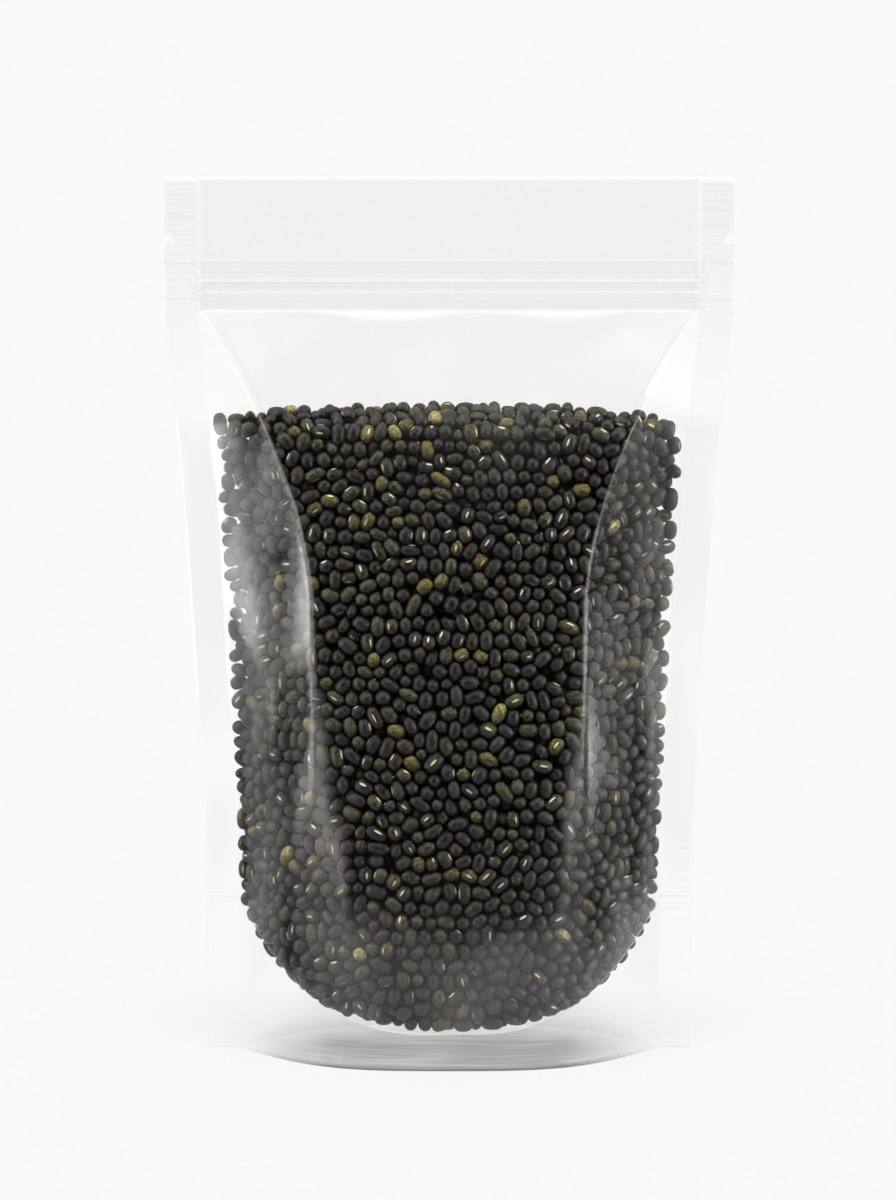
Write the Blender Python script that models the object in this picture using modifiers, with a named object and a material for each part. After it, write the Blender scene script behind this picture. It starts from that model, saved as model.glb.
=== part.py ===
"""A sealed stand-up pouch, filled with small dried beans.

The sealed pouch is one closed solid with the form of its film. Two flat panels are welded along both
sides and stand out round the beans. Above the beans they come together at a press-to-close zip and a
flat header with two tear notches. Below, a folded film lies between the panels as the pouch's floor,
and the panels run on down past it as a skirt, on whose rim the pouch stands. Where the beans press on
the panels, the skin has a bump for each bean.

Metres, +Z up, the front panel towards -Y, and the origin on the ground under the middle of the pouch.
"""

import math
import random

import bmesh
import bpy
from mathutils.geometry import delaunay_2d_cdt

MM = 0.001

# The pouch: outline, seals and film
POUCH_HEIGHT = 217.5 * MM
TOP_HALF_WIDTH = 70 * MM
BASE_HALF_WIDTH = 60 * MM
SIDE_SEAL = 8 * MM
SHEET_HALF_THICKNESS = 0.5 * MM
TAPER_POWER = 1.8
NOTCH_HEIGHT = 202.5 * MM
NOTCH_DEPTH = 2.1 * MM
NOTCH_RADIUS = 1.2 * MM

# The zip: a flange welded inside the film, with a thicker track along it
ZIP_BOTTOM = 185.4 * MM
ZIP_TOP = 196.8 * MM
ZIP_HALF_THICKNESS = 0.8 * MM
TRACK_BOTTOM = 189.2 * MM
TRACK_TOP = 192.5 * MM
TRACK_HALF_THICKNESS = 1.4 * MM
RIDGE_SLOPE = 0.5 * MM

# The filled body: how far a panel stands out from the middle plane
BODY_HALF_DEPTH = 28.6 * MM
DEPTH_INNER_POWER = 2.6
DEPTH_OUTER_POWER = 0.75
BELLY_DEPTH = 2.4 * MM
BELLY_HEIGHT = 26 * MM
RIM_FLARE = 0.9 * MM
RIM_POWER = 3.3
RIM_OUTER_POWER = 1.1
CREASE_DEPTH_SHARE = 0.8
CREASE_TOP_HALF_WIDTH = 61 * MM
CREASE_WAIST_HALF_WIDTH = 33.5 * MM
CREASE_WAIST_HEIGHT = 113 * MM
CREASE_POWER = 1.75
ROUND_BELOW = 40 * MM
CREASED_ABOVE = 120 * MM
BUCKLE_DEPTH = 0.9 * MM
BUCKLE_LENGTH = 47 * MM
BUCKLE_CREST = -17 * MM
BUCKLE_MIDDLE = 175 * MM
BUCKLE_REACH = 9 * MM

# The folded floor: the curved seal that joins it to each panel, and the space under it
FLOOR_SEAL_MIDDLE = 8.9 * MM
FLOOR_SEAL_SIDE = 38.3 * MM
FLOOR_SEAL_POWER = 2.9
FOLD_HEIGHT = 39 * MM
SKIRT_THICKNESS = 1.0 * MM
SKIRT_ROWS = (0.25, 0.5, 0.75, 1.0)
RECESS_HALF_LENGTH = 47 * MM

# The beans behind the film
HEAP_SIDE_HEIGHT = 157.7 * MM
HEAP_DOME = 3.3 * MM
BEAN_PITCH = 4.9 * MM
BEAN_SHIFT = 0.2
GAP_DEPTH = 1.15 * MM
BEAN_MARGIN = 3.2 * MM
SEED = 11

POUCH_COLOUR = (0.55, 0.56, 0.53, 1.0)
POUCH_ROUGHNESS = 0.35


def clear_scene():
    for obj in list(bpy.data.objects):
        bpy.data.objects.remove(obj)


def smoothstep(low, high, value):
    share = min(max((value - low) / (high - low), 0.0), 1.0)
    return share * share * (3 - 2 * share)


def half_width(z):
    """Half of the pouch's width at a height, out to the film's edge."""
    share = min(max(z / ZIP_BOTTOM, 0.0), 1.0)
    return BASE_HALF_WIDTH + (TOP_HALF_WIDTH - BASE_HALF_WIDTH) * share**TAPER_POWER


def inner_half_width(z):
    """Half of the width between the side seals."""
    return half_width(z) - SIDE_SEAL


def floor_seal_height(x):
    """Height of the curved seal between a panel and the folded floor."""
    share = min(abs(x) / inner_half_width(FOLD_HEIGHT), 1.0)
    return FLOOR_SEAL_MIDDLE + (FLOOR_SEAL_SIDE - FLOOR_SEAL_MIDDLE) * share**FLOOR_SEAL_POWER


def centre_depth(x, z):
    """Depth of a panel's middle facet at a height, with its belly above the floor seal."""
    share = min(max(z / ZIP_BOTTOM, 0.0), 1.0)
    depth = BODY_HALF_DEPTH * (1 - share**DEPTH_INNER_POWER) ** DEPTH_OUTER_POWER
    rise = max(z - floor_seal_height(x), 0.0) / BELLY_HEIGHT
    belly = BELLY_DEPTH * rise * math.exp(1 - rise)
    flare = RIM_FLARE * max(1 - z / FLOOR_SEAL_MIDDLE, 0.0) ** 2
    return depth + belly + flare


def crease_half_width(z):
    """Half of the distance between a panel's two creases, which run down from the zip's ends."""
    rise = max(z - CREASE_WAIST_HEIGHT, 0.0) / (ZIP_BOTTOM - CREASE_WAIST_HEIGHT)
    spread = CREASE_TOP_HALF_WIDTH - CREASE_WAIST_HALF_WIDTH
    return CREASE_WAIST_HALF_WIDTH + spread * min(rise, 1.0) ** CREASE_POWER


def section_share(x, z):
    """How a panel's depth falls off from the middle to the side seal: round at the base, creased above."""
    across = min(abs(x) / inner_half_width(z), 1.0)
    rounded = (1 - across**RIM_POWER) ** RIM_OUTER_POWER
    crease = min(crease_half_width(z) / inner_half_width(z), 0.985)
    if across < crease:
        creased = 1 - (1 - CREASE_DEPTH_SHARE) * (across / crease) ** 2
    else:
        creased = CREASE_DEPTH_SHARE * (1 - across) / (1 - crease)
    share = smoothstep(ROUND_BELOW, CREASED_ABOVE, z)
    return rounded * (1 - share) + creased * share


def buckle(x, z):
    """The gentle waves of the empty film just under the zip."""
    fade = math.exp(-(((z - BUCKLE_MIDDLE) / BUCKLE_REACH) ** 2))
    return BUCKLE_DEPTH * fade * math.cos(2 * math.pi * (x - BUCKLE_CREST) / BUCKLE_LENGTH)


def zip_half_thickness(x, z):
    """Half of the header's thickness: plain film, the zip's flange, or the track along it."""
    inside = smoothstep(0.0, RIDGE_SLOPE, inner_half_width(z) - abs(x))
    flange = smoothstep(ZIP_BOTTOM - RIDGE_SLOPE, ZIP_BOTTOM, z)
    flange -= smoothstep(ZIP_TOP, ZIP_TOP + RIDGE_SLOPE, z)
    track = smoothstep(TRACK_BOTTOM, TRACK_BOTTOM + RIDGE_SLOPE, z)
    track -= smoothstep(TRACK_TOP - RIDGE_SLOPE, TRACK_TOP, z)
    thickness = (ZIP_HALF_THICKNESS - SHEET_HALF_THICKNESS) * flange
    thickness += (TRACK_HALF_THICKNESS - ZIP_HALF_THICKNESS) * track
    return SHEET_HALF_THICKNESS + thickness * inside


def half_depth(x, z):
    """Distance of a panel's outer face from the middle plane."""
    if z >= ZIP_BOTTOM - RIDGE_SLOPE or abs(x) >= inner_half_width(z):
        return zip_half_thickness(x, z)
    stand_out = centre_depth(x, z) * section_share(x, z)
    return SHEET_HALF_THICKNESS + max(stand_out + buckle(x, z) * section_share(x, z), 0.0)


def heap_height(x):
    """Height of the beans' top, a little higher in the middle."""
    return HEAP_SIDE_HEIGHT + HEAP_DOME * (1 - (x / BASE_HALF_WIDTH) ** 2)


def spaced(low, high, count):
    return [low + (high - low) * i / (count - 1) for i in range(count)]


def notch(side):
    """A tear notch in the film's edge: straight sides and a round end, from its lower corner up."""
    middle = side * (TOP_HALF_WIDTH - NOTCH_DEPTH + NOTCH_RADIUS)
    arc = [math.radians(a) for a in (-90, -45, 0, 45, 90)]
    points = [(side * TOP_HALF_WIDTH, NOTCH_HEIGHT - NOTCH_RADIUS)]
    for angle in arc:
        inward = middle - side * NOTCH_RADIUS * math.cos(angle)
        points.append((inward, NOTCH_HEIGHT + NOTCH_RADIUS * math.sin(angle)))
    points.append((side * TOP_HALF_WIDTH, NOTCH_HEIGHT + NOTCH_RADIUS))
    return points


def side_edge(side):
    """The film's edge on one side, from the ground up."""
    below = [(side * half_width(z), z) for z in spaced(0.0, ZIP_BOTTOM, 19)]
    above = [(side * TOP_HALF_WIDTH, z) for z in (ZIP_TOP, POUCH_HEIGHT)]
    return below + above[:1] + notch(side) + above[1:]


def rim_places():
    """Places across the pouch, closer together where the rim curves in to the side seals."""
    half = [0, 10, 19, 26, 31, 35, 38.5, 41.5, 44, 46.5, 49]
    inner = [x * MM for x in half] + [inner_half_width(0.0)]
    return [-x for x in reversed(inner[1:])] + inner


def outline():
    """The pouch's outline seen from the front, anticlockwise."""
    ground = [(x, 0.0) for x in rim_places()]
    top = [(x, POUCH_HEIGHT) for x in (inner_half_width(POUCH_HEIGHT), 0.0)]
    top.append((-inner_half_width(POUCH_HEIGHT), POUCH_HEIGHT))
    return ground + side_edge(1) + top + side_edge(-1)[::-1]


def zip_rows():
    """Heights at which the header's thickness changes."""
    rows = [ZIP_BOTTOM - RIDGE_SLOPE, ZIP_BOTTOM, TRACK_BOTTOM, TRACK_BOTTOM + RIDGE_SLOPE]
    rows += [TRACK_TOP - RIDGE_SLOPE, TRACK_TOP, ZIP_TOP, ZIP_TOP + RIDGE_SLOPE]
    return rows


def feature_lines():
    """Lines that the panel's triangles follow: seals, zip, creases and the curved floor seal."""
    lines = []
    for side in (-1, 1):
        heights = spaced(0.0, ZIP_BOTTOM - RIDGE_SLOPE, 19)[1:]
        lines.append([(side * inner_half_width(z), z) for z in heights])
        crease = spaced(heap_height(0.0) + BEAN_MARGIN, ZIP_BOTTOM - RIDGE_SLOPE, 5)[:-1]
        lines.append([(side * crease_half_width(z), z) for z in crease])
    for z in zip_rows():
        reach = inner_half_width(z)
        track = [-reach, -reach + RIDGE_SLOPE, reach - RIDGE_SLOPE, reach]
        lines.append([(x, z) for x in track])
    for share in SKIRT_ROWS:
        lines.append([(x, share * floor_seal_height(x)) for x in rim_places()[1:-1]])
    return lines


def headspace_points():
    """Points of the empty film between the beans and the zip, fine enough for its waves."""
    points = []
    for z in spaced(ZIP_BOTTOM - BEAN_PITCH, heap_height(0.0) + BEAN_MARGIN, 4):
        reach = crease_half_width(z) - BEAN_PITCH
        points += [(x, z) for x in spaced(-reach, reach, 15)]
    return points


def place_at_length(length, z):
    """The place across the pouch that lies this far along the film from its middle."""
    step = 0.5 * MM
    x, gone, depth = 0.0, 0.0, half_depth(0.0, z)
    while gone < abs(length) and x < inner_half_width(z):
        x += step
        following = half_depth(x, z)
        gone += math.hypot(step, following - depth)
        depth = following
    return math.copysign(x, length)


def bean_points():
    """The beans that touch a panel, set out in shifted rows on the film, each a little off its place."""
    draw = random.Random(SEED)
    points = []
    row_pitch = BEAN_PITCH * math.sqrt(3) / 2
    rows = int(heap_height(0.0) / row_pitch) + 1
    columns = int(TOP_HALF_WIDTH / BEAN_PITCH)
    for row in range(rows):
        for column in range(-columns, columns + 1):
            along = (column + 0.5 * (row % 2)) * BEAN_PITCH
            along += draw.uniform(-BEAN_SHIFT, BEAN_SHIFT) * BEAN_PITCH
            z = row * row_pitch + draw.uniform(-BEAN_SHIFT, BEAN_SHIFT) * BEAN_PITCH
            x = place_at_length(along, max(z, 0.0))
            above_seal = z > floor_seal_height(x) + BEAN_MARGIN * 0.6
            under_top = z < heap_height(x) - BEAN_PITCH / 2
            clear_of_side = abs(x) < inner_half_width(z) - BEAN_MARGIN
            if above_seal and under_top and clear_of_side:
                points.append((x, z))
    return points


def triangulated_panel():
    """A flat mesh of the pouch seen from the front. Its first points are the beans."""
    beans = bean_points()
    points = list(beans)
    edges = []
    border = outline()
    edge_start = len(points)
    points += border
    edges += [(edge_start + i, edge_start + (i + 1) % len(border)) for i in range(len(border))]
    for line in feature_lines():
        start = len(points)
        points += line
        edges += [(start + i, start + i + 1) for i in range(len(line) - 1)]
    points += headspace_points()
    inside_only = 1
    found = delaunay_2d_cdt(points, edges, [], inside_only, 1e-6)
    places, _, triangles, origins = found[0], found[1], found[2], found[3]
    bean_places = {i for i, old in enumerate(origins) if any(o < len(beans) for o in old)}
    return places, triangles, bean_places


def make_half_pouch():
    """The front half of the pouch's skin: the shaped panel, with its edge drawn back to the middle plane."""
    places, triangles, bean_places = triangulated_panel()
    bm = bmesh.new()
    vertices = [bm.verts.new((x, 0.0, z)) for x, z in places]
    between_beans = []
    for corners in triangles:
        face = bm.faces.new([vertices[i] for i in corners])
        if all(i in bean_places for i in corners):
            between_beans.append(face)
    gaps = bmesh.ops.poke(bm, faces=between_beans)["verts"]
    gap_set = set(gaps)
    for vertex in bm.verts:
        depth = half_depth(vertex.co.x, vertex.co.z)
        vertex.co.y = -(depth - GAP_DEPTH if vertex in gap_set else depth)
    rim = [edge for edge in bm.edges if edge.is_boundary]
    drawn = bmesh.ops.extrude_edge_only(bm, edges=rim)["geom"]
    for element in drawn:
        if isinstance(element, bmesh.types.BMVert):
            element.co.y = 0.0
    bmesh.ops.recalc_face_normals(bm, faces=bm.faces[:])
    mesh = bpy.data.meshes.new("pouch_skin")
    bm.to_mesh(mesh)
    bm.free()
    return mesh


def skirt_wall_depth(x, z):
    """Distance of the skirt's inner face from the middle plane, for a wall of even thickness."""
    step = 0.5 * MM
    slope = (half_depth(x + step, z) - half_depth(x - step, z)) / (2 * step)
    return half_depth(x, z) - SHEET_HALF_THICKNESS - SKIRT_THICKNESS * math.hypot(1.0, slope)


def recess_section(x):
    """The space under the folded floor at one place across, as points from the front wall over to the back."""
    seal = floor_seal_height(x)
    wall = []
    for z in (-4 * MM, 0.0, *(share * seal for share in SKIRT_ROWS)):
        wall.append((x, -skirt_wall_depth(x, max(z, 0.0)), z))
    spread = abs(wall[-1][1])
    film = FOLD_HEIGHT - seal
    sag = math.sqrt(max(film * film - spread * spread, 0.0))
    middle = [(x, 0.0, max(seal - sag, FLOOR_SEAL_MIDDLE))]
    back = [(x, -y, z) for _, y, z in reversed(wall)]
    return wall + middle + back


def make_recess_cutter():
    """A loft through sections across the pouch, which hollows it between the skirt's walls."""
    stations = [x for x in rim_places() if abs(x) <= RECESS_HALF_LENGTH]
    bm = bmesh.new()
    rings = []
    for x in stations:
        ring = [bm.verts.new(point) for point in recess_section(x)]
        rings.append([bm.edges.new((ring[i - 1], ring[i])) for i in range(len(ring))])
    for near, far in zip(rings, rings[1:]):
        bmesh.ops.bridge_loops(bm, edges=near + far)
    bmesh.ops.holes_fill(bm, edges=rings[0] + rings[-1], sides=0)
    bmesh.ops.recalc_face_normals(bm, faces=bm.faces[:])
    mesh = bpy.data.meshes.new("recess")
    bm.to_mesh(mesh)
    bm.free()
    return mesh


def make_material():
    material = bpy.data.materials.new("pouch_of_beans")
    material.use_nodes = True
    shader = material.node_tree.nodes["Principled BSDF"]
    shader.inputs["Base Color"].default_value = POUCH_COLOUR
    shader.inputs["Roughness"].default_value = POUCH_ROUGHNESS
    shader.inputs["Metallic"].default_value = 0.0
    return material


def add_to(collection_name, obj):
    collection = bpy.data.collections.get(collection_name)
    if collection is None:
        collection = bpy.data.collections.new(collection_name)
        bpy.context.scene.collection.children.link(collection)
    collection.objects.link(obj)


def main():
    clear_scene()

    cutter = bpy.data.objects.new("recess_cutter", make_recess_cutter())
    cutter.hide_render = True
    cutter.display_type = "WIRE"
    add_to("cutters", cutter)

    pouch = bpy.data.objects.new("bag_of_beans", make_half_pouch())
    pouch.data.materials.append(make_material())
    add_to("bag_of_dried_beans", pouch)

    mirror = pouch.modifiers.new("back panel", "MIRROR")
    mirror.use_axis = (False, True, False)
    mirror.merge_threshold = 0.00005

    hollow = pouch.modifiers.new("space under the floor", "BOOLEAN")
    hollow.operation = "DIFFERENCE"
    hollow.solver = "EXACT"
    hollow.object = cutter


main()
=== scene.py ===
"""The looks of a sealed stand-up pouch of small dark dried beans.

The pouch is clear film: a front and a back panel welded along both sides, a folded floor film between
them, and a press-to-close zip. The beans are packed against the film, each touching its neighbours.

Metres, +Z up, the front panel towards -Y, and the origin on the ground under the middle of the pouch.
"""

import math

import bmesh
import bpy
import numpy as np
from mathutils import Matrix, Vector, kdtree


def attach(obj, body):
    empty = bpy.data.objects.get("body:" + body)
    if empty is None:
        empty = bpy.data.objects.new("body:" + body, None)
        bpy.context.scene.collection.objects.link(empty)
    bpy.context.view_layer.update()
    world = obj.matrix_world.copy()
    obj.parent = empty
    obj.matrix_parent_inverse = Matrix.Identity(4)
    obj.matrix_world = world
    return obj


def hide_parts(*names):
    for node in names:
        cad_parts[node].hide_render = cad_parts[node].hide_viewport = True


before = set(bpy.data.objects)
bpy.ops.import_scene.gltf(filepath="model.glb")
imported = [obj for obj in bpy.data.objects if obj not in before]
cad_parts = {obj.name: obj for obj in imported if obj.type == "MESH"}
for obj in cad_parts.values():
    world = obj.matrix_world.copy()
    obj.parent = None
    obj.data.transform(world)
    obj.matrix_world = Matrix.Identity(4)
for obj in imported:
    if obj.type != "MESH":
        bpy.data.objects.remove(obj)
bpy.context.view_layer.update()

MM = 0.001
POUCH = "bag_of_beans"
BODY = "root"

# The pouch's form, which follows the solid that the film and beans stand for
POUCH_HEIGHT = 217.5 * MM
TOP_HALF_WIDTH = 70 * MM
BASE_HALF_WIDTH = 60 * MM
SIDE_SEAL = 8 * MM
SHEET_HALF_THICKNESS = 0.5 * MM
TAPER_POWER = 1.8
NOTCH_HEIGHT = 202.5 * MM
NOTCH_DEPTH = 2.1 * MM
NOTCH_RADIUS = 1.2 * MM
ZIP_BOTTOM = 185.4 * MM
ZIP_TOP = 196.8 * MM
ZIP_HALF_THICKNESS = 0.8 * MM
TRACK_BOTTOM = 189.2 * MM
TRACK_TOP = 192.5 * MM
TRACK_HALF_THICKNESS = 1.4 * MM
RIDGE_SLOPE = 0.5 * MM
BODY_HALF_DEPTH = 28.6 * MM
DEPTH_INNER_POWER = 2.6
DEPTH_OUTER_POWER = 0.75
BELLY_DEPTH = 2.4 * MM
BELLY_HEIGHT = 26 * MM
RIM_FLARE = 0.9 * MM
RIM_POWER = 3.3
RIM_OUTER_POWER = 1.1
CREASE_DEPTH_SHARE = 0.8
CREASE_TOP_HALF_WIDTH = 61 * MM
CREASE_WAIST_HALF_WIDTH = 33.5 * MM
CREASE_WAIST_HEIGHT = 113 * MM
CREASE_POWER = 1.75
ROUND_BELOW = 40 * MM
CREASED_ABOVE = 120 * MM
BUCKLE_DEPTH = 0.9 * MM
BUCKLE_LENGTH = 47 * MM
BUCKLE_CREST = -17 * MM
BUCKLE_MIDDLE = 175 * MM
BUCKLE_REACH = 9 * MM
CREASE_SHARE_AT_MOST = 0.985
FLOOR_SEAL_MIDDLE = 8.9 * MM
FLOOR_SEAL_SIDE = 38.3 * MM
FLOOR_SEAL_POWER = 2.9
FOLD_HEIGHT = 39 * MM
HEAP_SIDE_HEIGHT = 157.7 * MM
HEAP_DOME = 3.3 * MM

# The film
FILM_THICKNESS = 0.12 * MM
PANEL_FROM_MIDDLE = 0.3 * MM
FLOOR_FILM_INSIDE = 0.16 * MM
FLOOR_LEAST_DEPTH = 0.2 * MM
SLOPE_STEP = 0.2 * MM
GRID_STEP = 1.2 * MM
HALF_COLUMNS = 44
CREASE_COLUMN = 28
FINE_STEP = 0.3 * MM
FINE_PAST_NOTCH = 0.6 * MM
FLOOR_STEPS = 24
PUNCH_HEIGHT = 15 * MM
PUNCH_HALF_HEIGHT = 7.5 * MM
PUNCH_DEPTH = 6.6 * MM

# The zip
ZIP_END_IN_SEAL = 1.5 * MM
ZIP_INNER_FACE = 0.08 * MM
ZIP_INSIDE_FILM = 0.2 * MM
ZIP_TRACK_HOLLOW = 0.25 * MM
ZIP_OFF_TRACK = 0.3 * MM
ZIP_TRACK_ROUND = 0.2 * MM
ZIP_RIB = 0.12 * MM
ZIP_RIB_HALF_HEIGHT = 0.25 * MM
ZIP_RIB_HEIGHTS = (193.7 * MM, 194.9 * MM, 196.0 * MM)

# The beans
BEAN_LENGTH = 4.7 * MM
BEAN_LENGTH_SPREAD = 0.6 * MM
BEAN_LENGTH_RANGE = (3.5 * MM, 6.3 * MM)
BEAN_WIDTH = 3.55 * MM
BEAN_WIDTH_SPREAD = 0.3 * MM
BEAN_WIDTH_RANGE = (2.8 * MM, 4.3 * MM)
BEAN_LEAST_LENGTH = 1.12
BEAN_THICKNESS = 0.96
BEAN_BLUNTNESS = 2.5
BEAN_FLAT_DEPTH = 0.07
BEAN_FLAT_REACH = 0.5
BEAN_BEND = 0.05
BEAN_BEND_MIDDLE = 0.4
FINE_BEAN = (12, 7)
PLAIN_BEAN = (8, 5)
ROOM_PER_BEAN = 47 * MM**3
LATTICE_X = (-65 * MM, 65 * MM)
LATTICE_Y = (-32 * MM, 32 * MM)
LATTICE_Z = (8 * MM, 163 * MM)
LATTICE_JITTER = 0.3
START_OFF_SEAL = 1.5 * MM
START_OFF_FILM = 1.2 * MM
START_PAST_SHELL = 0.8 * MM
OFF_FLOOR_FILM = 0.4 * MM
OFF_FILM_AT_MOST = 1.3 * MM
STEEPEST = 3.0
HEAP_LEAST_DEPTH = 1 * MM
SHELL_DEPTH = 10.4 * MM
OUTER_DEPTH = 3.3 * MM
FINE_PAST_OUTER = 0.6 * MM
PULLED_PAST_OUTER = 1 * MM
HEAP_FALL = 6.0 * MM
HEAP_UNEVEN = 1.6 * MM
HEAP_RISE = 1.8 * MM
SETTLING_STEPS = 90
STEPS_PER_SEARCH = 8
SEARCH_REACH = 6.8 * MM
CROWDING = 0.35
PULL_TO_FILM = 0.06 * MM
PULL_TO_SHELL = 0.2 * MM
TINY = 1e-9
SEED = 11

# The film's finish: how strongly it mirrors and how milky it is
OUTER_SHEEN = 0.036
INNER_SHEEN = 0.008
ZIP_SHEEN = 0.008
INNER_ROUGHNESS = 0.24
MILKY_ROUGHNESS = 0.5
EMPTY_ROUGHNESS = 0.08
FILLED_EXTRA_ROUGHNESS = 0.12
SATIN_HAZE = 0.78
SATIN_HAZE_BEHIND = 0.12
SEAL_HAZE = 0.006
SEAL_TOP_HAZE = 0.09
PRESSED_HAZE = 0.08
OUTER_EDGE_HAZE = 0.02
RIM_HAZE = 0.1
FLOOR_SEAL_HAZE = 0.1
CREASE_HIGHLIGHT_HAZE = 0.35
CRUSHED_HAZE = 0.12
EMPTY_FLANK_LOSS = 0.9
SLACK_CONTRAST = 1.9
SLACK_LOSS = 0.85
LOW_CONTRAST = 1.1
LOW_GAIN = 0.05
SATIN_SIDE_LOSS = 0.8
# The satin band's painted shade, standing for the shadow under the pouch: its share from ribs and clouds,
# less an offset
SATIN_RIB_SHADE = 1.2
SATIN_CLOUD_SHADE = 0.9
SATIN_LEAST_SHADE = 0.2
SEAL_TOP_LEAST = 0.5
FOLD_LOSS = 0.8

# Where the film's marks lie, in millimetres: each edge or line, and how soft or wide it is
SEAL_EDGE = (SIDE_SEAL / MM, 0.3)
SKIRT_EDGE = (0.0, 0.4)
FILLED_EDGE = (-4.0, 6.0)
BESIDE_CREASE = (0.5, 1.0)
OVER_BEANS = (0.0, 4.0)
UNDER_ZIP = (ZIP_BOTTOM / MM - 1.0, 1.5)
OVER_ZIP = (ZIP_TOP / MM + 0.5, 1.5)
CRUSHED_BAND = (SIDE_SEAL / MM + 0.5, 2.8)
FOLD_LINE = (0.0, 0.16)
FOLD_FADES_IN = (98.0, 50.0)
FOLD_PALES = (0.0, 2.0)
FOLD_ENDS = (ZIP_BOTTOM / MM, 0.5)
SATIN_TOP = 12.0
SATIN_HALF_WIDTH = 50.0
SATIN_EDGE = (1.0, 8.0)
SATIN_SIDE = (40.0, 22.0)
PRESSED_AT_ZIP_TOP = (196.4, 0.45)
PRESSED_UNDER_TRACK = (187.6, 0.35)
SEAL_TOP = (185.0, 40.0)
OUTER_EDGE = (0.1, 0.25)
RIM_EDGE = (0.3, 0.3)
FLOOR_SEAL_LINE = (0.0, 0.35)
LOW_FILM_EDGE = (38.0, 7.0)

# The film's uneven patterns: how fine they are along x, y and z, or in every direction
RIBS = (40.0, 40.0, 1700.0)
SWELLS = (62.0, 62.0, 22.0)
CLOUDS = (45.0, 45.0, 120.0)
ZIP_LINES = (12.0, 12.0, 3200.0)
DENTS = 170.0
CRUSHES = 1000.0

# Where those patterns turn from low to high, and how softly
CRUSHED_SPOTS = (0.56, 0.2)
SLACK_PATCHES = (0.5, 0.2)
LOW_PATCHES = (0.5, 0.3)
ZIP_LINES_SEEN = (0.55, 0.2)

# The film's relief in millimetres
DENT_RELIEF = 0.1
SWELL_RELIEF = 0.5
FILLED_SWELL_RELIEF = 1.0
RIB_RELIEF = 0.03
CRUSHED_RELIEF = 0.08
ZIP_RELIEF = 0.2

# The zip's finish: where it ends across, and the height, half height and strength of each painted shade line
# along the track's grooves
ZIP_FINISH_END = (61.5, 3.0)
ZIP_GROOVE_SHADES = (
    (191.5, 0.2, 1.0),
    (190.65, 0.2, 1.0),
    (189.7, 0.2, 1.0),
    (186.9, 0.2, 0.3),
    (194.1, 0.3, 0.3),
)
ZIP_LINE_HAZE = 0.015
ZIP_GROOVE_SHADE_SHARE = 0.08
ZIP_MILKY_ROUGHNESS = 0.35
ZIP_ROUGHNESS = 0.1
ZIP_GROOVE_SHADE_LEAST = 0.2

# The beans' finish, with its lengths as shares of half a bean
BEAN_GLOSS = 0.45
BEAN_ROUGHNESS = 0.48
BEAN_ROUGHNESS_SPREAD = 0.3
TONE_SHARE = 0.6
SPECKLE = 1700.0
SPECKLE_SHARE = 3.4
SPECKLE_MIDDLE = 0.47
PATCHES = 420.0
PATCH_SHARE = 0.7
PATCH_MIDDLE = 0.45
HILUM_HALF_LENGTH = 0.38
HILUM_HALF_WIDTH = 0.13
HILUM_EDGE = (1.0, 0.3)
HILUM_SIDE = (0.2, 0.1)
GROOVE_LINE = (0.0, 0.045)
GROOVE_END = (0.28, 0.1)
GROOVE_PAINTED_SHADE = 0.7
SPECKLE_RELIEF = 0.07
HILUM_RELIEF = 0.06

# The photograph's view
IMAGE_HEIGHT = 1200
CAMERA_DISTANCE = 1.8
CAMERA_ELEVATION = math.radians(8.0)
CAMERA_TARGET = Vector((-0.25 * MM, 0.0, 112.75 * MM))
SENSOR = 36.0
FOCAL_PIXELS = 7269.0

# The studio
PAPER_WIDTH = 1.1
PAPER_DEPTH = 9.0
PAPER_IN_FRONT = 0.24
PAPER_WHITENESS = 0.09
PAPER_GLOW = 0.755
SEEN_BEHIND = 0.95
TOP_LIGHT = 5.2
TOP_LIGHT_SPREAD = math.radians(30.0)
TOP_LIGHT_ELEVATION = math.radians(74.0)
ROOM_BESIDE = 0.1
ROOM_BEHIND = 0.65
OVERHEAD_PANEL = 2.0
OVERHEAD_MIRRORED = 1.4
HIGH_PATCHES = 0.3
HIGH_PATCHES_MIRRORED = 0.7
SIDE_PANELS = 1.0
SIDE_PANELS_MIRRORED = 6.3

# The patches that make the room's panels uneven
ROOM_PATCHES = 3.4
PATCH_EDGE = (0.51, 0.16)
HIGH_LEAST = 0.08
SIDE_LEAST = 0.07
SIDE_CONTRAST = 1.2

# Where the room's parts lie: a direction's share along x, y or z, and how soft the edge there is
BACK_WALL = (0.45, 0.25)
BESIDE_START = (-0.5, 0.4)
OVERHEAD_START = (0.93, 0.05)
HIGH_START = (0.42, 0.3)
HIGH_END = (0.9, 0.1)
SIDE_START = (0.2, 0.4)
SIDE_END = (0.1, 0.3)
SIDE_FOOT = (-0.25, 0.2)
SIDE_TOP = (0.75, 0.3)


# Form of the pouch

def smoothstep(low, high, value):
    share = np.clip((value - low) / (high - low), 0.0, 1.0)
    return share * share * (3 - 2 * share)


def half_width(z):
    share = np.clip(z / ZIP_BOTTOM, 0.0, 1.0)
    return BASE_HALF_WIDTH + (TOP_HALF_WIDTH - BASE_HALF_WIDTH) * share**TAPER_POWER


def inner_half_width(z):
    return half_width(z) - SIDE_SEAL


def floor_seal_height(x):
    share = np.clip(np.abs(x) / inner_half_width(FOLD_HEIGHT), 0.0, 1.0)
    return FLOOR_SEAL_MIDDLE + (FLOOR_SEAL_SIDE - FLOOR_SEAL_MIDDLE) * share**FLOOR_SEAL_POWER


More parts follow.
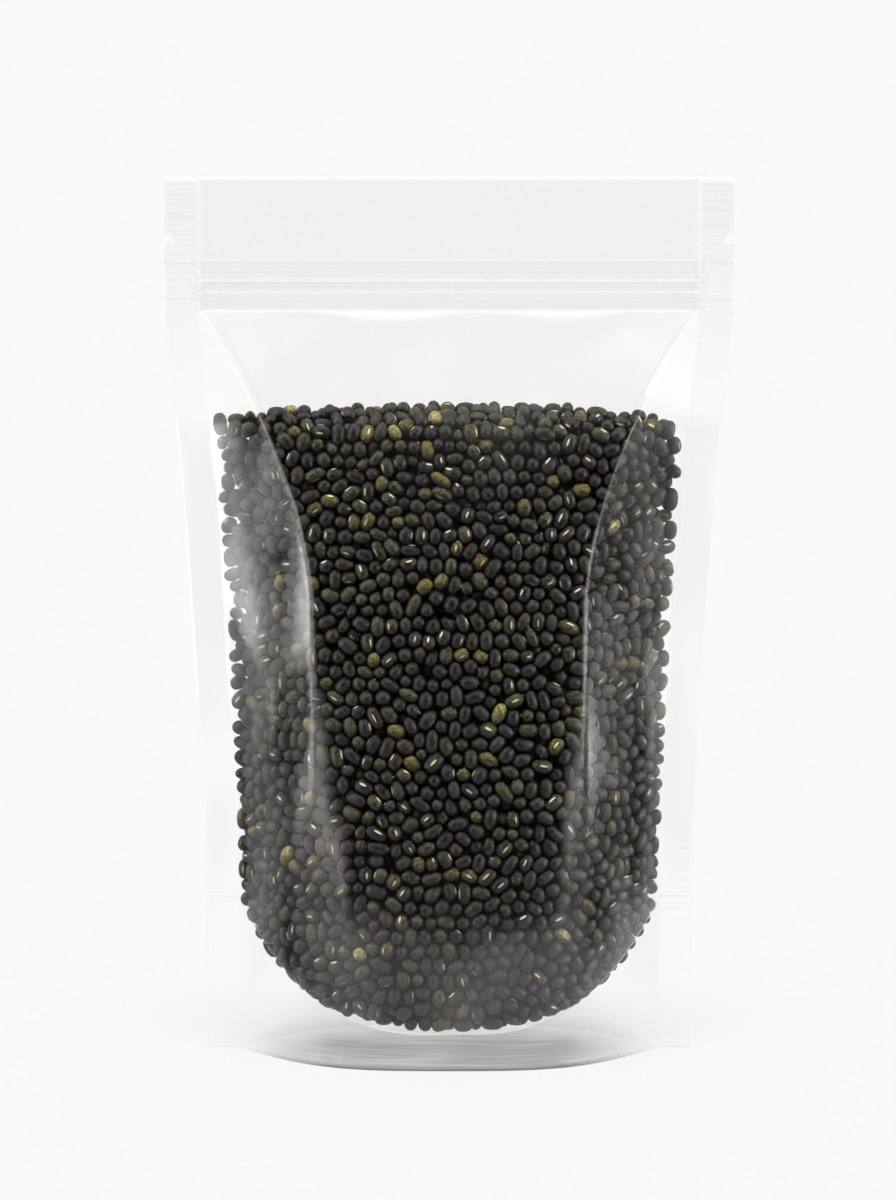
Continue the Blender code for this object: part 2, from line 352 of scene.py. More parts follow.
def centre_depth(x, z):
    share = np.clip(z / ZIP_BOTTOM, 0.0, 1.0)
    depth = BODY_HALF_DEPTH * (1 - share**DEPTH_INNER_POWER) ** DEPTH_OUTER_POWER
    rise = np.maximum(z - floor_seal_height(x), 0.0) / BELLY_HEIGHT
    belly = BELLY_DEPTH * rise * np.exp(1 - rise)
    flare = RIM_FLARE * np.clip(1 - z / FLOOR_SEAL_MIDDLE, 0.0, 1.0) ** 2
    return depth + belly + flare


def crease_half_width(z):
    rise = np.clip((z - CREASE_WAIST_HEIGHT) / (ZIP_BOTTOM - CREASE_WAIST_HEIGHT), 0.0, 1.0)
    spread = CREASE_TOP_HALF_WIDTH - CREASE_WAIST_HALF_WIDTH
    return CREASE_WAIST_HALF_WIDTH + spread * rise**CREASE_POWER


def section_share(x, z):
    across = np.clip(np.abs(x) / inner_half_width(z), 0.0, 1.0)
    rounded = (1 - across**RIM_POWER) ** RIM_OUTER_POWER
    crease = np.minimum(crease_half_width(z) / inner_half_width(z), CREASE_SHARE_AT_MOST)
    middle = 1 - (1 - CREASE_DEPTH_SHARE) * (across / crease) ** 2
    flank = CREASE_DEPTH_SHARE * (1 - across) / (1 - crease)
    creased = np.where(across < crease, middle, flank)
    share = smoothstep(ROUND_BELOW, CREASED_ABOVE, z)
    return rounded * (1 - share) + creased * share


def buckle(x, z):
    fade = np.exp(-(((z - BUCKLE_MIDDLE) / BUCKLE_REACH) ** 2))
    return BUCKLE_DEPTH * fade * np.cos(2 * math.pi * (x - BUCKLE_CREST) / BUCKLE_LENGTH)


def zip_stand_out(x, z):
    inside = smoothstep(0.0, RIDGE_SLOPE, inner_half_width(z) - np.abs(x))
    flange = smoothstep(ZIP_BOTTOM - RIDGE_SLOPE, ZIP_BOTTOM, z)
    flange = flange - smoothstep(ZIP_TOP, ZIP_TOP + RIDGE_SLOPE, z)
    track = smoothstep(TRACK_BOTTOM, TRACK_BOTTOM + RIDGE_SLOPE, z)
    track = track - smoothstep(TRACK_TOP - RIDGE_SLOPE, TRACK_TOP, z)
    stand_out = (ZIP_HALF_THICKNESS - SHEET_HALF_THICKNESS) * flange
    return (stand_out + (TRACK_HALF_THICKNESS - ZIP_HALF_THICKNESS) * track) * inside


def stand_out(x, z):
    """How far a panel stands out from the flat seals, at any place on it."""
    filled = np.maximum((centre_depth(x, z) + buckle(x, z)) * section_share(x, z), 0.0)
    in_body = (z < ZIP_BOTTOM - RIDGE_SLOPE) & (np.abs(x) < inner_half_width(z))
    return np.where(in_body, filled, zip_stand_out(x, z))


def heap_height(x):
    return HEAP_SIDE_HEIGHT + HEAP_DOME * (1 - (x / BASE_HALF_WIDTH) ** 2)


def notch_inset(z):
    """How far the tear notch cuts in from the film's edge at a height."""
    off = np.clip(np.abs(z - NOTCH_HEIGHT) / NOTCH_RADIUS, 0.0, 1.0)
    inset = NOTCH_DEPTH - NOTCH_RADIUS + NOTCH_RADIUS * np.sqrt(1 - off**2)
    return np.where(off < 1, inset, 0.0)


def floor_half_depth(x):
    """Distance from the middle plane to the skirt's inner face, where the floor film leaves it."""
    return PANEL_FROM_MIDDLE + stand_out(x, floor_seal_height(x)) - FLOOR_FILM_INSIDE


def floor_height(x, y):
    """Height of the folded floor film, from its seal in the front panel to its seal in the back one."""
    seal = floor_seal_height(x)
    spread = np.maximum(floor_half_depth(x), FLOOR_LEAST_DEPTH)
    film = FOLD_HEIGHT - seal
    sag = np.sqrt(np.maximum(film**2 - spread**2, 0.0))
    middle = np.maximum(seal - sag, FLOOR_SEAL_MIDDLE)
    share = np.clip(np.abs(y) / spread, 0.0, 1.0)
    return middle + (seal - middle) * share


# Sheets of film

def places_between(low, high, step):
    count = max(int(round((high - low) / step)), 1)
    return list(np.linspace(low, high, count + 1))


def panel_rows():
    """Heights of a panel's rows of points, closer together at the notches and over the zip."""
    near_notch = NOTCH_RADIUS + FINE_PAST_NOTCH
    rows = places_between(0.0, ZIP_BOTTOM - 2 * RIDGE_SLOPE, GRID_STEP)
    rows += places_between(ZIP_BOTTOM - 2 * RIDGE_SLOPE, ZIP_TOP + 2 * RIDGE_SLOPE, FINE_STEP)[1:]
    rows += places_between(rows[-1], NOTCH_HEIGHT - near_notch, GRID_STEP)[1:]
    rows += places_between(rows[-1], NOTCH_HEIGHT + near_notch, FINE_STEP / 2)[1:]
    rows += places_between(rows[-1], POUCH_HEIGHT, GRID_STEP)[1:]
    return np.array(rows)


def panel_columns():
    """Places across a panel: from -1 to 1 between the side seals, and on to -2 and 2 at the film's edges."""
    body = places_between(-1.0, 1.0, 1 / HALF_COLUMNS)
    seal = places_between(0.0, 1.0, GRID_STEP / SIDE_SEAL)[1:]
    return np.array([-1 - s for s in reversed(seal)] + body + [1 + s for s in seal])


def flat_grid(columns, rows):
    """A bmesh grid whose points know their column and row, counted from 0."""
    bm = bmesh.new()
    bmesh.ops.create_grid(bm, x_segments=len(columns) - 1, y_segments=len(rows) - 1, size=1.0)
    for vertex in bm.verts:
        vertex.co.x = round((vertex.co.x + 1) / 2 * (len(columns) - 1))
        vertex.co.y = round((vertex.co.y + 1) / 2 * (len(rows) - 1))
    return bm


def across_to_x(across, z, edge):
    """Turns a column into a place across, between the seals or in one."""
    inner = inner_half_width(z)
    beyond = np.clip(np.abs(across) - 1, 0.0, 1.0)
    in_body = np.clip(np.abs(across), 0.0, 1.0) * inner
    return np.sign(across) * (in_body + beyond * (edge - inner))


def along_crease(across, z):
    """Moves a panel's columns so that one of them on each side follows the crease."""
    column = CREASE_COLUMN / HALF_COLUMNS
    crease = min(float(crease_half_width(z) / inner_half_width(z)), CREASE_SHARE_AT_MOST)
    places = (0.0, column, 1.0, 2.0), (0.0, crease, 1.0, 2.0)
    return np.sign(across) * np.interp(abs(across), *places)


def film_piece(name, bm):
    """Makes a shaped grid an object, with the distances that its finish needs kept on its points."""
    mesh = bpy.data.meshes.new(name)
    bm.to_mesh(mesh)
    bm.free()
    place = np.empty(len(mesh.vertices) * 3)
    mesh.vertices.foreach_get("co", place)
    x, _, z = place.reshape(-1, 3).T
    distances = {
        "from_edge": half_width(z) - np.abs(x),
        "over_floor_seal": z - floor_seal_height(x),
        "from_crease": np.abs(x) - crease_half_width(z),
        "over_heap": z - heap_height(x),
    }
    for key, value in distances.items():
        layer = mesh.attributes.new(key, "FLOAT", "POINT")
        layer.data.foreach_set("value", value / MM)
    mesh.shade_smooth()
    piece = bpy.data.objects.new(name, mesh)
    bpy.context.scene.collection.objects.link(piece)
    wall = piece.modifiers.new("film thickness", "SOLIDIFY")
    wall.thickness = FILM_THICKNESS
    wall.offset = 0.0
    wall.material_offset = 1
    return piece


def make_panel(name, side):
    """The front (-1) or back (1) panel, from the rim of the skirt to the top of the header."""
    columns, rows = panel_columns(), panel_rows()
    bm = flat_grid(columns, rows)
    for vertex in bm.verts:
        across, z = columns[int(vertex.co.x)], rows[int(vertex.co.y)]
        edge = half_width(z) - notch_inset(z)
        x = across_to_x(along_crease(across, z), z, edge)
        y = side * (PANEL_FROM_MIDDLE + stand_out(x, z))
        vertex.co = (x, float(y), z)
    if side < 0:
        bmesh.ops.recalc_face_normals(bm, faces=bm.faces[:])
    return film_piece(name, bm)


def floor_film_point(across, along):
    """A place on the folded floor film.

    Along runs from 0 to 1 up the front skirt, to 2 over the floor, and to 3 down the back skirt.
    """
    x = across_to_x(across, FOLD_HEIGHT, half_width(FOLD_HEIGHT))
    seal = floor_seal_height(x)
    spread = float(floor_half_depth(x))
    if 1 <= along <= 2:
        y = -spread + 2 * spread * (along - 1)
        return x, y, float(floor_height(x, y))
    up = along if along < 1 else 3 - along
    z = float(up * seal)
    x = across_to_x(across, z, half_width(z))
    y = float(PANEL_FROM_MIDDLE + stand_out(x, z) - FLOOR_FILM_INSIDE)
    return x, -y if along < 1 else y, z


def make_floor_film():
    """The folded film between the panels: its skirt layers, and the floor that carries the beans."""
    columns = panel_columns()
    skirt = places_between(0.0, 1.0, 1 / FLOOR_STEPS)
    rows = np.array(skirt + [1 + s for s in skirt[1:]] + [2 + s for s in skirt[1:]])
    bm = flat_grid(columns, rows)
    for vertex in bm.verts:
        across, along = columns[int(vertex.co.x)], rows[int(vertex.co.y)]
        vertex.co = floor_film_point(across, along)
    punched = []
    for vertex in bm.verts:
        inward = (half_width(vertex.co.z) - abs(vertex.co.x)) / PUNCH_DEPTH
        up = (vertex.co.z - PUNCH_HEIGHT) / PUNCH_HALF_HEIGHT
        if inward**2 + up**2 < 1:
            punched.append(vertex)
    bmesh.ops.delete(bm, geom=punched, context="VERTS")
    bmesh.ops.recalc_face_normals(bm, faces=bm.faces[:])
    return film_piece("floor_film", bm)


def zip_profile(side):
    """The outline of one zip strip seen from its end, as distance from the middle and height."""
    outer = ZIP_HALF_THICKNESS - ZIP_INSIDE_FILM
    track = TRACK_HALF_THICKNESS - ZIP_INSIDE_FILM
    points = [(ZIP_INNER_FACE, ZIP_BOTTOM), (outer, ZIP_BOTTOM)]
    points += [(outer, TRACK_BOTTOM - ZIP_OFF_TRACK), (track, TRACK_BOTTOM + ZIP_TRACK_ROUND)]
    points += [(track - ZIP_TRACK_HOLLOW, (TRACK_BOTTOM + TRACK_TOP) / 2)]
    points += [(track, TRACK_TOP - ZIP_TRACK_ROUND), (outer, TRACK_TOP + ZIP_OFF_TRACK)]
    for height in ZIP_RIB_HEIGHTS:
        points += [(outer, height - ZIP_RIB_HALF_HEIGHT), (outer + ZIP_RIB, height)]
        points += [(outer, height + ZIP_RIB_HALF_HEIGHT)]
    points += [(outer, ZIP_TOP), (ZIP_INNER_FACE, ZIP_TOP)]
    return [(side * y, z) for y, z in points]


def make_zip_strip(name, side):
    """One strip of the zip, drawn out along the pouch between the side seals."""
    reach = float(inner_half_width(ZIP_TOP)) + ZIP_END_IN_SEAL
    bm = bmesh.new()
    ring = [bm.verts.new((-reach, y, z)) for y, z in zip_profile(side)]
    end = bm.faces.new(ring)
    drawn = bmesh.ops.extrude_face_region(bm, geom=[end])["geom"]
    moved = [part for part in drawn if isinstance(part, bmesh.types.BMVert)]
    bmesh.ops.translate(bm, verts=moved, vec=(2 * reach, 0.0, 0.0))
    bmesh.ops.recalc_face_normals(bm, faces=bm.faces[:])
    mesh = bpy.data.meshes.new(name)
    bm.to_mesh(mesh)
    bm.free()
    piece = bpy.data.objects.new(name, mesh)
    bpy.context.scene.collection.objects.link(piece)
    return piece


# Beans

def film_distance(points, side):
    """Distance of each point inside the front (-1) or back (1) film, and the direction away from it."""
    x, y, z = points.T
    step = SLOPE_STEP
    depth = PANEL_FROM_MIDDLE + stand_out(x, z) - FILM_THICKNESS
    slope_x = (stand_out(x + step, z) - stand_out(x - step, z)) / (2 * step)
    slope_z = (stand_out(x, z + step) - stand_out(x, z - step)) / (2 * step)
    slope_x = np.clip(slope_x, -STEEPEST, STEEPEST)
    slope_z = np.clip(slope_z, -STEEPEST, STEEPEST)
    length = np.sqrt(1 + slope_x**2 + slope_z**2)
    away = np.stack([slope_x, np.full_like(x, -float(side)), slope_z], axis=1) / length[:, None]
    return (depth - side * y) / length, away


def floor_distance(points):
    """Distance of each point above the folded floor film, and the direction away from it."""
    x, y, z = points.T
    step = SLOPE_STEP
    slope_x = (floor_height(x + step, y) - floor_height(x - step, y)) / (2 * step)
    slope_y = (floor_height(x, y + step) - floor_height(x, y - step)) / (2 * step)
    slope_x = np.clip(slope_x, -STEEPEST, STEEPEST)
    slope_y = np.clip(slope_y, -STEEPEST, STEEPEST)
    length = np.sqrt(1 + slope_x**2 + slope_y**2)
    away = np.stack([-slope_x, -slope_y, np.ones_like(x)], axis=1) / length[:, None]
    return (z - floor_height(x, y) - OFF_FLOOR_FILM) / length, away


def limits(points, lowering):
    """Every surface that holds the beans in, as distances inside it and directions away from it.

    The heap's top is lower by its own amount for each bean, so that it is uneven.
    """
    x, y, z = points.T
    up = np.zeros_like(points)
    up[:, 2] = 1.0
    spread = np.maximum(PANEL_FROM_MIDDLE + stand_out(x, z), HEAP_LEAST_DEPTH)
    fall = HEAP_FALL * np.clip(np.abs(y) / spread, 0.0, 1.0) ** 2
    top = heap_height(x) + HEAP_RISE - fall - lowering
    return [
        film_distance(points, -1),
        film_distance(points, 1),
        (top - z, -up),
        floor_distance(points),
    ]


def near_pairs(centres, reach):
    """Pairs of beans close enough to touch while the packing settles."""
    tree = kdtree.KDTree(len(centres))
    for i, centre in enumerate(centres):
        tree.insert(centre, i)
    tree.balance()
    first, second = [], []
    for i, centre in enumerate(centres):
        for _, j, _ in tree.find_range(centre, reach):
            if j > i:
                first.append(i)
                second.append(j)
    return np.array(first), np.array(second)


def scattered_beans(rng):
    """Starting places for the beans: a jittered lattice through the outer part of the heap."""
    pitch = ROOM_PER_BEAN ** (1 / 3)
    xs = np.arange(*LATTICE_X, pitch)
    ys = np.arange(*LATTICE_Y, pitch)
    zs = np.arange(*LATTICE_Z, pitch)
    grid = np.stack(np.meshgrid(xs, ys, zs, indexing="ij"), axis=-1).reshape(-1, 3)
    grid[:, 0] += (np.round(grid[:, 2] / pitch) % 2) * pitch / 2
    grid += rng.uniform(-LATTICE_JITTER, LATTICE_JITTER, grid.shape) * pitch
    inside = np.min([d for d, _ in limits(grid, np.zeros(len(grid)))], axis=0)
    between_seals = np.abs(grid[:, 0]) < inner_half_width(grid[:, 2]) - START_OFF_SEAL
    in_shell = (inside > START_OFF_FILM) & (inside < SHELL_DEPTH + START_PAST_SHELL)
    return grid[in_shell & between_seals]


def settle_beans():
    """Packs the beans: each is two joined balls, pushed off its neighbours and against the film."""
    rng = np.random.default_rng(SEED)
    centres = scattered_beans(rng)
    count = len(centres)
    width = np.clip(rng.normal(BEAN_WIDTH, BEAN_WIDTH_SPREAD, count), *BEAN_WIDTH_RANGE)
    length = np.clip(rng.normal(BEAN_LENGTH, BEAN_LENGTH_SPREAD, count), *BEAN_LENGTH_RANGE)
    length = np.maximum(length, width * BEAN_LEAST_LENGTH)
    half_gap = (length - width) / 2
    radius = width / 2
    axis = rng.normal(size=(count, 3))
    axis /= np.linalg.norm(axis, axis=1)[:, None]
    ends = np.stack([centres - axis * half_gap[:, None], centres + axis * half_gap[:, None]])
    lowering = rng.uniform(0.0, HEAP_UNEVEN, count)
    off_film = OFF_FILM_AT_MOST * rng.uniform(0.0, 1.0, count) ** 2
    for step in range(SETTLING_STEPS):
        if step % STEPS_PER_SEARCH == 0:
            first, second = near_pairs(ends.mean(axis=0), SEARCH_REACH)
        push = np.zeros_like(ends)
        touches = np.ones((2, count))
        for a in (0, 1):
            for b in (0, 1):
                apart = ends[b][second] - ends[a][first]
                far = np.maximum(np.linalg.norm(apart, axis=1), TINY)
                overlap = radius[first] + radius[second] - far
                hit = overlap > 0
                move = 0.5 * overlap[hit, None] * apart[hit] / far[hit, None]
                for k in range(3):
                    push[a][:, k] -= np.bincount(first[hit], move[:, k], count)
                    push[b][:, k] += np.bincount(second[hit], move[:, k], count)
                touches[a] += CROWDING * np.bincount(first[hit], minlength=count)
                touches[b] += CROWDING * np.bincount(second[hit], minlength=count)
        ends += push / touches[..., None]
        for end in (0, 1):
            surfaces = limits(ends[end], lowering)
            nearest = np.min([d for d, _ in surfaces], axis=0)
            for index, (distance, away) in enumerate(surfaces):
                short = np.maximum(radius - distance, 0.0)
                ends[end] += away * short[:, None]
                closest = distance <= nearest + TINY
                loose = closest & (distance > radius + off_film) & (index < 2)
                pull = np.where(loose & (distance < OUTER_DEPTH + PULLED_PAST_OUTER), PULL_TO_FILM, 0.0)
                pull = pull + np.where(closest & (nearest > SHELL_DEPTH), PULL_TO_SHELL, 0.0)
                ends[end] -= away * np.minimum(pull, np.maximum(distance - radius, 0.0))[:, None]
        middle = ends.mean(axis=0)
        axis = ends[1] - ends[0]
        axis /= np.maximum(np.linalg.norm(axis, axis=1), TINY)[:, None]
        ends = np.stack([middle - axis * half_gap[:, None], middle + axis * half_gap[:, None]])
    return ends.mean(axis=0), axis, length, width, rng


def bean_shape(segments, rings):
    """One bean about 2 units long: blunt ends, a flatter side with the hilum, and a slight bend."""
    bm = bmesh.new()
    bmesh.ops.create_uvsphere(bm, u_segments=segments, v_segments=rings, radius=1.0)
    poles_along_x = Matrix.Rotation(math.pi / 2, 3, "Y")
    bmesh.ops.rotate(bm, verts=bm.verts[:], cent=(0, 0, 0), matrix=poles_along_x)
    blunt = BEAN_BLUNTNESS
    for vertex in bm.verts:
        x, y, z = vertex.co
        swell = (abs(x) ** blunt + (y * y + z * z) ** (blunt / 2)) ** (1 / blunt)
        vertex.co /= swell
        flat = math.exp(-((x / BEAN_FLAT_REACH) ** 2) - (y / BEAN_FLAT_REACH) ** 2)
        vertex.co.z -= BEAN_FLAT_DEPTH * flat * max(z, 0.0)
        vertex.co.z -= BEAN_BEND * (x * x - BEAN_BEND_MIDDLE)
    places = np.array([v.co[:] for v in bm.verts])
    faces = [[v.index for v in f.verts] for f in bm.faces]
    bm.free()
    return places, faces


def bean_frames(axis, rng):
    """Each bean's own directions: along it, across it, and out of its hilum side."""
    helper = rng.normal(size=axis.shape)
    across = np.cross(axis, helper)
    across /= np.linalg.norm(across, axis=1)[:, None]
    return np.stack([axis, across, np.cross(axis, across)], axis=1)


def placed_beans(shape, centres, frames, length, width):
    """The points, face corners and face sizes of many beans of one shape, as arrays."""
    places, faces = shape
    half = np.stack([length / 2, width / 2, width / 2 * BEAN_THICKNESS], axis=1)
    scaled = places[None] * half[:, None, :]
    points = centres[:, None, :] + np.einsum("nvk,nkj->nvj", scaled, frames)
    count = len(centres)
    corners = np.concatenate([np.array(face) for face in faces])
    first_points = np.arange(count)[:, None] * len(places)
    sizes = np.array([len(face) for face in faces])
    return points.reshape(-1, 3), (corners[None] + first_points).ravel(), np.tile(sizes, count)


def joined_beans(name, layers, beans, kind_here):
    """One piece for one kind of bean, with each bean's tone and the place on it kept on its points."""
    points, corners, sizes, on_bean, tone = [], [], [], [], []
    for shape, in_layer in layers:
        mine = in_layer & kind_here
        measures = [beans[key][mine] for key in ("centre", "frame", "length", "width")]
        placed = placed_beans(shape, *measures)
        corners.append(placed[1] + sum(len(part) for part in points))
        points.append(placed[0])
        sizes.append(placed[2])
        on_bean.append(np.tile(shape[0], (mine.sum(), 1)))
        tone.append(np.repeat(beans["tone"][mine], len(shape[0])))
    points, corners, sizes = np.concatenate(points), np.concatenate(corners), np.concatenate(sizes)
    mesh = bpy.data.meshes.new(name)
    mesh.vertices.add(len(points))
    mesh.vertices.foreach_set("co", points.ravel())
    mesh.loops.add(len(corners))
    mesh.loops.foreach_set("vertex_index", corners)
    mesh.polygons.add(len(sizes))
    mesh.polygons.foreach_set("loop_start", np.cumsum(sizes) - sizes)
    mesh.update(calc_edges=True)
    mesh.validate()
    places = mesh.attributes.new("on_bean", "FLOAT_VECTOR", "POINT")
    places.data.foreach_set("vector", np.concatenate(on_bean).ravel())
    tones = mesh.attributes.new("tone", "FLOAT", "POINT")
    tones.data.foreach_set("value", np.concatenate(tone))
    mesh.shade_smooth()
    piece = bpy.data.objects.new(name, mesh)
    bpy.context.scene.collection.objects.link(piece)
    return piece


# Finishes

class Signal:
    """A value that changes over a surface, used in Python expressions."""

    def __init__(self, nodes, socket):
        self.nodes = nodes
        self.socket = socket

    def maths(self, operation, *others):
        values = dict(enumerate((self, *others)))
        return self.nodes.node("ShaderNodeMath", {"operation": operation}, values)

    def __add__(self, other):
        return self.maths("ADD", other)

    def __mul__(self, other):
        return self.maths("MULTIPLY", other)

    def __sub__(self, other):
        return self.maths("SUBTRACT", other)

    def __rsub__(self, other):
        return self.nodes.node("ShaderNodeMath", {"operation": "SUBTRACT"}, {0: other, 1: self})

    def __truediv__(self, other):
        return self.maths("DIVIDE", other)

    def __abs__(self):
        return self.maths("ABSOLUTE")

    __radd__ = __add__
    __rmul__ = __mul__

    def held(self):
        """The value kept between 0 and 1."""
        return self.maths("MAXIMUM", 0.0).maths("MINIMUM", 1.0)

    def above(self, edge, softness):
        """1 where the value is over the edge, 0 where it is under it, soft in between."""
        return ((self - edge) / softness + 0.5).held()

    def near(self, middle, reach):
        """1 at the middle value, down to 0 this far from it on each side."""
        return (1 - abs(self - middle) / reach).held()


class Nodes:
    """The nodes of a material or of the studio's surroundings."""

    def __init__(self, owner, output_kind):
        owner.use_nodes = True
        self.owner = owner
        self.tree = owner.node_tree
        self.tree.nodes.clear()
        self.output_kind = output_kind

    def node(self, kind, settings=None, values=None, output=0):
        made = self.tree.nodes.new(kind)
        for key, value in (settings or {}).items():
            setattr(made, key, value)
        for key, value in (values or {}).items():
            if isinstance(value, Signal):
                self.tree.links.new(value.socket, made.inputs[key])
            else:
                made.inputs[key].default_value = value
        if output is None:
            return None
        return Signal(self, made.outputs[output])

    def stored(self, name, output="Fac"):
        return self.node("ShaderNodeAttribute", {"attribute_name": name}, output=output)

    def noise(self, place, scale, detail=0.0):
        values = {"Vector": place, "Scale": scale, "Detail": detail}
        return self.node("ShaderNodeTexNoise", None, values)

    def place(self):
        return self.node("ShaderNodeTexCoord", output="Object")

    def stretched(self, place, factors):
        return self.node("ShaderNodeVectorMath", {"operation": "MULTIPLY"}, {0: place, 1: factors})

    def parts(self, vector):
        made = self.node("ShaderNodeSeparateXYZ", None, {0: vector})
        outputs = made.socket.node.outputs
        return [Signal(self, outputs[i]) for i in range(3)]

    def blend(self, share, low, high):
        values = {0: share, 6: low, 7: high}
        return self.node("ShaderNodeMix", {"data_type": "RGBA"}, values, 2)

    def relief(self, height):
        """Turns a height in millimetres into a normal."""
        return self.node("ShaderNodeBump", None, {"Height": height, "Strength": 1.0, "Distance": MM})

    def sheen(self, straight, normal):
        """Share of light that a clear wall's face reflects: least straight on, all at a grazing look."""
        facing = self.node("ShaderNodeLayerWeight", None, {"Blend": 0.5, "Normal": normal}, 1)
        return straight + (1 - straight) * facing.maths("POWER", 5.0)

    def coat(self, base, roughness, normal, metallic=0.0, gloss=0.5):
        values = {"Base Color": base, "Roughness": roughness, "Metallic": metallic, "Normal": normal}
        values["Specular IOR Level"] = gloss
        return self.node("ShaderNodeBsdfPrincipled", None, values)

    def mixed(self, share, low, high):
        return self.node("ShaderNodeMixShader", None, {0: share, 1: low, 2: high})

    def done(self, surface):
        self.node(self.output_kind, None, {"Surface": surface}, None)
        return self.owner


def new_finish(name):
    return Nodes(bpy.data.materials.new(name), "ShaderNodeOutputMaterial")


def shade(value):
    """A display value from 0 to 255 as a linear one."""
    share = value / 255
    return share / 12.92 if share <= 0.04045 else ((share + 0.055) / 1.055) ** 2.4


def colour(red, green, blue):
    return (shade(red), shade(green), shade(blue), 1.0)


def empty_flank(finish):
    """1 on the film beside the creases and over the beans, which hardly mirrors the panels."""
    beside = finish.stored("from_crease").above(*BESIDE_CREASE)
    return beside * finish.stored("over_heap").above(*OVER_BEANS)


def film_haze(finish, satin_haze, ribs, crushed):
    """How milky the film is, and how much painted shade greys its satin band."""
    place = finish.place()
    across, _, height = finish.parts(place)
    across = abs(across) / MM
    height = height / MM
    edge = finish.stored("from_edge")
    floor = finish.stored("over_floor_seal")
    in_seal = 1 - edge.above(*SEAL_EDGE)
    in_skirt = 1 - floor.above(*SKIRT_EDGE)
    outward = across / SATIN_HALF_WIDTH
    outward = outward * outward
    satin = in_skirt * (SATIN_TOP * (1 - outward * outward) - height).above(*SATIN_EDGE)
    satin = satin * (1 - SATIN_SIDE_LOSS * across.above(*SATIN_SIDE))
    clouds = finish.noise(finish.stretched(place, CLOUDS), 1.0, 1.0)
    # Painted shade: the satin band greys where ribs and clouds are high, standing for the shadow under the
    # pouch
    shaded = SATIN_RIB_SHADE * ribs + SATIN_CLOUD_SHADE * clouds - SATIN_LEAST_SHADE
    satin_painted_shade = satin * shaded.held()
    # Painted highlight: a whiter line along each crease stands for light caught by its ridge; it fades in
    # above about 98 mm, is paler above the beans and ends at the zip
    folded = finish.stored("from_crease").near(*FOLD_LINE) * height.above(*FOLD_FADES_IN)
    folded = folded * (1 - FOLD_LOSS * finish.stored("over_heap").above(*FOLD_PALES))
    folded = folded * (1 - height.above(*FOLD_ENDS))
    pressed = height.near(*PRESSED_AT_ZIP_TOP) + height.near(*PRESSED_UNDER_TRACK)
    seal_top = height.above(*SEAL_TOP) * (SEAL_TOP_LEAST + ribs)
    haze = in_seal * (SEAL_HAZE * ribs + SEAL_TOP_HAZE * seal_top + PRESSED_HAZE * pressed)
    haze = haze + OUTER_EDGE_HAZE * edge.near(*OUTER_EDGE)
    haze = haze + satin_haze * (satin + RIM_HAZE * (1 - height.above(*RIM_EDGE)))
    haze = haze + FLOOR_SEAL_HAZE * floor.near(*FLOOR_SEAL_LINE)
    haze = haze + CREASE_HIGHLIGHT_HAZE * folded + CRUSHED_HAZE * crushed
    return haze.held(), satin_painted_shade


def film_finish(name, sheen_share, weld_share, satin_haze):
    """Clear glossy film.

    The welds reflect less, and crushed spots are whiter. The skirt is satin, greyed by painted shade that
    stands for the shadow under the pouch seen through it, and a whiter line along each crease is a painted
    highlight of light caught by its ridge.
    """
    finish = new_finish(name)
    place = finish.place()
    _, _, height = finish.parts(place)
    height = height / MM
    edge = finish.stored("from_edge")
    in_seal = 1 - edge.above(*SEAL_EDGE)
    in_skirt = 1 - finish.stored("over_floor_seal").above(*SKIRT_EDGE)
    welded = in_seal.maths("MAXIMUM", in_skirt)
    filled = (1 - finish.stored("over_heap").above(*FILLED_EDGE)) * (1 - welded)
    ribs = finish.noise(finish.stretched(place, RIBS), 1.0, 1.0)
    swell = finish.noise(finish.stretched(place, SWELLS), 1.0, 1.0)
    dents = finish.noise(place, DENTS)
    crush = finish.noise(place, CRUSHES).above(*CRUSHED_SPOTS)
    zip_row = height.above(*UNDER_ZIP) * (1 - height.above(*OVER_ZIP))
    crushed = edge.near(*CRUSHED_BAND) * zip_row * crush
    haze, satin_painted_shade = film_haze(finish, satin_haze, ribs, crushed)
    relief = (dents - 0.5) * filled * DENT_RELIEF
    relief = relief + (swell - 0.5) * (1 - welded) * (SWELL_RELIEF + FILLED_SWELL_RELIEF * filled)
    relief = relief + ribs * welded * RIB_RELIEF + crushed * CRUSHED_RELIEF
    normal = finish.relief(relief)
    clear = finish.node("ShaderNodeBsdfTransparent")
    # Painted shade: the milky film turns grey with the satin band's painted shade
    white = finish.blend(satin_painted_shade, colour(247, 248, 248), colour(156, 157, 159))
    milky = finish.coat(white, MILKY_ROUGHNESS, normal)
    roughness = EMPTY_ROUGHNESS + FILLED_EXTRA_ROUGHNESS * filled
    gloss = finish.coat((1.0, 1.0, 1.0, 1.0), roughness, normal, 1.0)
    body = finish.mixed(haze, clear, milky)
    sheen = finish.sheen(OUTER_SHEEN, normal) * sheen_share * (1 - (1 - weld_share) * welded)
    beside = finish.stored("from_crease").above(*BESIDE_CREASE)
    slack = beside * (swell.above(*SLACK_PATCHES) * SLACK_CONTRAST - SLACK_LOSS)
    low_film = (1 - height.above(*LOW_FILM_EDGE)) * (1 - welded)
    slack = slack + low_film * (swell.above(*LOW_PATCHES) * LOW_CONTRAST + LOW_GAIN)
    sheen = sheen * (1 + slack) * (1 - EMPTY_FLANK_LOSS * empty_flank(finish))
    return finish.done(finish.mixed(sheen, body, gloss))


def inner_face_finish():
    """The inner face of the film's wall: clear, with the faint sheen of a second surface."""
    finish = new_finish("clear_film_inner_face")
    clear = finish.node("ShaderNodeBsdfTransparent")
    values = {"Metallic": 1.0, "Roughness": INNER_ROUGHNESS}
    gloss = finish.node("ShaderNodeBsdfPrincipled", None, values)
    share = INNER_SHEEN * finish.stored("from_edge").above(*SEAL_EDGE)
    share = share * (1 - EMPTY_FLANK_LOSS * empty_flank(finish))
    return finish.done(finish.mixed(share, clear, gloss))


